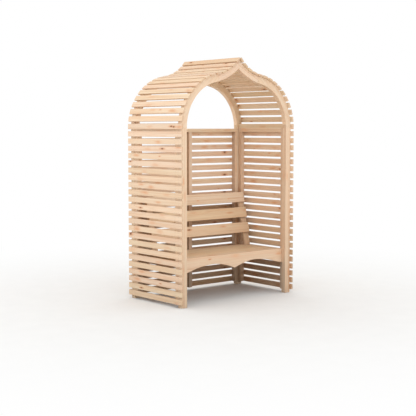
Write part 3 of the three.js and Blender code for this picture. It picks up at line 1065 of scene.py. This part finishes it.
def add_backrest():
    # The backrest boards and supports are painted darker, painted shade
    for number in range(1, BACKREST_BOARDS + 1):
        turned_board(f"backrest_board_{number}", "seat_wood", X, (Y, Z), bevel=SEAT_ARRIS, shade=0.93)
    upward = Vector((0, math.sin(BACKREST_RAKE), math.cos(BACKREST_RAKE)))
    forward = Vector((0, -math.cos(BACKREST_RAKE), math.sin(BACKREST_RAKE)))
    for hand, _ in SIDES:
        node = f"{hand}_backrest_support"
        finish_piece(f"{node}_wood", support_mesh(node), node, "seat_wood", upward, forward, shade=0.85)


# Nail heads

# There are two in each place where a slat crosses a post or a batten
NAIL_FOOT_RADIUS = 2.3 * MM
NAIL_TOP_RADIUS = 2.0 * MM
NAIL_HEIGHT = 0.24 * MM
NAIL_FACETS = 14
NAIL_LIFT = 12 * MM
NAIL_STRAY_ALONG = 3 * MM
NAIL_STRAY_UP = 2 * MM
NAIL_CLEARANCE = 0.01 * MM
BACK_NAIL_SEED = 5


def nail_pair(rng, middle, along):
    """Places below and above the middle of a slat, each a little off its mark."""
    return [middle + along * rng.uniform(-NAIL_STRAY_ALONG, NAIL_STRAY_ALONG)
            + Z * (lift + rng.uniform(-NAIL_STRAY_UP, NAIL_STRAY_UP)) for lift in (-NAIL_LIFT, NAIL_LIFT)]


def nail_heads(name, points, normal):
    """Flat wire-nail heads whose discs are centred on the points and face along the normal."""
    bm = bmesh.new()
    turn = normal.to_track_quat("Z", "Y").to_matrix().to_4x4()
    for point in points:
        place = Matrix.Translation(point) @ turn
        bmesh.ops.create_cone(bm, cap_ends=True, segments=NAIL_FACETS, radius1=NAIL_FOOT_RADIUS,
                              radius2=NAIL_TOP_RADIUS, depth=NAIL_HEIGHT, matrix=place)
    piece = new_object(name, bm, STEEL)
    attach(piece, "root")


def add_nails():
    front_y = FRONT_FRAME_Y + FRAME_THICKNESS
    crossings = (front_y - FRAME_THICKNESS / 2, front_y + BATTEN_WIDTH / 2,
                 REAR_FRAME_Y - BATTEN_WIDTH / 2, REAR_FRAME_Y + FRAME_THICKNESS / 2)
    nail_x = WALL_X + SLAT_THICKNESS - NAIL_HEIGHT / 2 - NAIL_CLEARANCE
    for hand, side in SIDES:
        rng = random.Random(seed_of(hand))
        points = []
        for number in range(1, WALL_SLATS + 1):
            height = slat_bottom(number) + SLAT_WIDTH / 2
            for y in crossings:
                points += nail_pair(rng, Vector((side * nail_x, y, height)), Y)
        nail_heads(f"{hand}_wall_nails", points, X * side)
    post_x = (SOFFIT_X + WALL_X) / 2
    rear_y = REAR_FRAME_Y + FRAME_THICKNESS + SLAT_THICKNESS
    rng = random.Random(BACK_NAIL_SEED)
    points = []
    for number in range(1, BACK_SLATS + 1):
        height = slat_bottom(number) + SLAT_WIDTH / 2
        for x in (-post_x, 0, post_x):
            points += nail_pair(rng, Vector((x, rear_y, height)), X)
    nail_heads("back_nails", points, Y)


# Surroundings

# The camera sees a pale floor that fades into white. The light that the floor sends back is that
# of a darker floor near the object, as over the slab in the photograph, and inside the object's
# footprint it is nearly black, a painted shadow under the object. Each band gives the
# distances from the middle, in metres, between which one turns into the other.

FLOOR_REACH = 60
FADE_BAND = (1.3, 4.2)
BOUNCE_BAND = (1.0, 2.0)
BESIDE_BAND = (0.5, 0.7)
BEFORE_BAND = (0.25, 0.45)
FLOOR_DULL = (0.83, 0.83, 0.82, 1)
FLOOR_PALE = (0.87, 0.87, 0.86, 1)
BOUNCE_INSIDE_SHADOW = (0.07, 0.052, 0.04, 1)
BOUNCE_BESIDE = (0.30, 0.262, 0.215, 1)
BOUNCE_AWAY = (0.86, 0.86, 0.86, 1)


def add_floor():
    material, g = new_material("floor")
    place = g.node("ShaderNodeTexCoord").outputs["Object"]
    away = g.length(place)
    seen = g.node("ShaderNodeLightPath").outputs["Is Camera Ray"]
    pale = g.mix(g.noise(place, (6, 6, 6), 4.0), FLOOR_DULL, FLOOR_PALE)
    east, north, _ = g.split(place)
    beside = g.smooth(g.math("ABSOLUTE", east), *BESIDE_BAND)
    before = g.smooth(g.math("ABSOLUTE", north), *BEFORE_BAND)
    near = g.mix(g.math("MAXIMUM", beside, before), BOUNCE_INSIDE_SHADOW, BOUNCE_BESIDE)
    bounce = g.mix(g.smooth(away, *BOUNCE_BAND), near, BOUNCE_AWAY)
    diffuse = g.node("ShaderNodeBsdfDiffuse")
    g.put(diffuse.inputs[0], g.mix(seen, bounce, pale))
    glow = g.node("ShaderNodeEmission")
    g.put(glow.inputs[0], WHITE)
    fade = g.math("MULTIPLY", g.smooth(away, *FADE_BAND), seen)
    out = g.node("ShaderNodeOutputMaterial")
    g.put(out.inputs[0], g.mix_shaders(fade, diffuse.outputs[0], glow.outputs[0]))

    bm = bmesh.new()
    bmesh.ops.create_grid(bm, x_segments=2, y_segments=2, size=FLOOR_REACH)
    floor = new_object("floor", bm, material)


# Light

# An even dome, a little stronger low down, and a faint wide key from above the front left. Rays
# from the camera, reflections and see-through rays meet plain white instead of the dome.

HORIZON_STRENGTH = 1.38
ZENITH_STRENGTH = 1.0
KEY_ENERGY = 0.12
KEY_SPREAD = math.radians(35)
KEY_DIRECTION = Vector((1, 1, -1))


def aim(thing, direction):
    thing.rotation_mode = "QUATERNION"
    thing.rotation_quaternion = direction.to_track_quat("-Z", "Y")


def add_light():
    world = bpy.data.worlds.new("studio")
    bpy.context.scene.world = world
    world.use_nodes = True
    world.node_tree.nodes.clear()
    g = Graph(world.node_tree)
    path = g.node("ShaderNodeLightPath")
    seen = g.math("MAXIMUM", path.outputs["Is Camera Ray"],
                  g.math("MAXIMUM", path.outputs["Is Glossy Ray"], path.outputs["Is Transmission Ray"]))
    height = g.split(g.node("ShaderNodeTexCoord").outputs["Generated"])[2]
    dome = g.node("ShaderNodeBackground")
    g.put(dome.inputs[0], WHITE)
    g.put(dome.inputs[1], g.smooth(height, 0.0, 1.0, HORIZON_STRENGTH, ZENITH_STRENGTH))
    white = g.node("ShaderNodeBackground")
    g.put(white.inputs[0], WHITE)
    g.put(white.inputs[1], 1.0)
    out = g.node("ShaderNodeOutputWorld")
    g.put(out.inputs[0], g.mix_shaders(seen, dome.outputs[0], white.outputs[0]))

    lamp = bpy.data.lights.new("key", "SUN")
    lamp.energy = KEY_ENERGY
    lamp.angle = KEY_SPREAD
    key = bpy.data.objects.new("key", lamp)
    bpy.context.scene.collection.objects.link(key)
    aim(key, KEY_DIRECTION)


# Camera

# Solved from the pitch of the slats in the photograph, as one without shift
LENS = 83.7225
SENSOR_WIDTH = 36
CAMERA_PLACE = (-5.6133, -6.5613, 1.4994)
CAMERA_YAW = math.radians(40.3016)
CAMERA_PITCH = math.radians(4.7276)
CLIP_END = 200


def add_camera():
    data = bpy.data.cameras.new("camera")
    data.sensor_width = SENSOR_WIDTH
    data.lens = LENS
    data.clip_end = CLIP_END
    camera = bpy.data.objects.new("camera", data)
    bpy.context.scene.collection.objects.link(camera)
    camera.location = CAMERA_PLACE
    ahead = math.cos(CAMERA_PITCH)
    direction = (math.sin(CAMERA_YAW) * ahead, math.cos(CAMERA_YAW) * ahead, -math.sin(CAMERA_PITCH))
    aim(camera, Vector(direction))
    bpy.context.scene.camera = camera


add_posts()
add_arches()
for hand, side in SIDES:
    add_side_wall(hand, side)
    add_roof_side(hand, side)
add_back()
add_seat()
add_apron()
add_backrest()
add_nails()
add_floor()
add_light()
add_camera()
bpy.context.scene.view_settings.view_transform = "Standard"
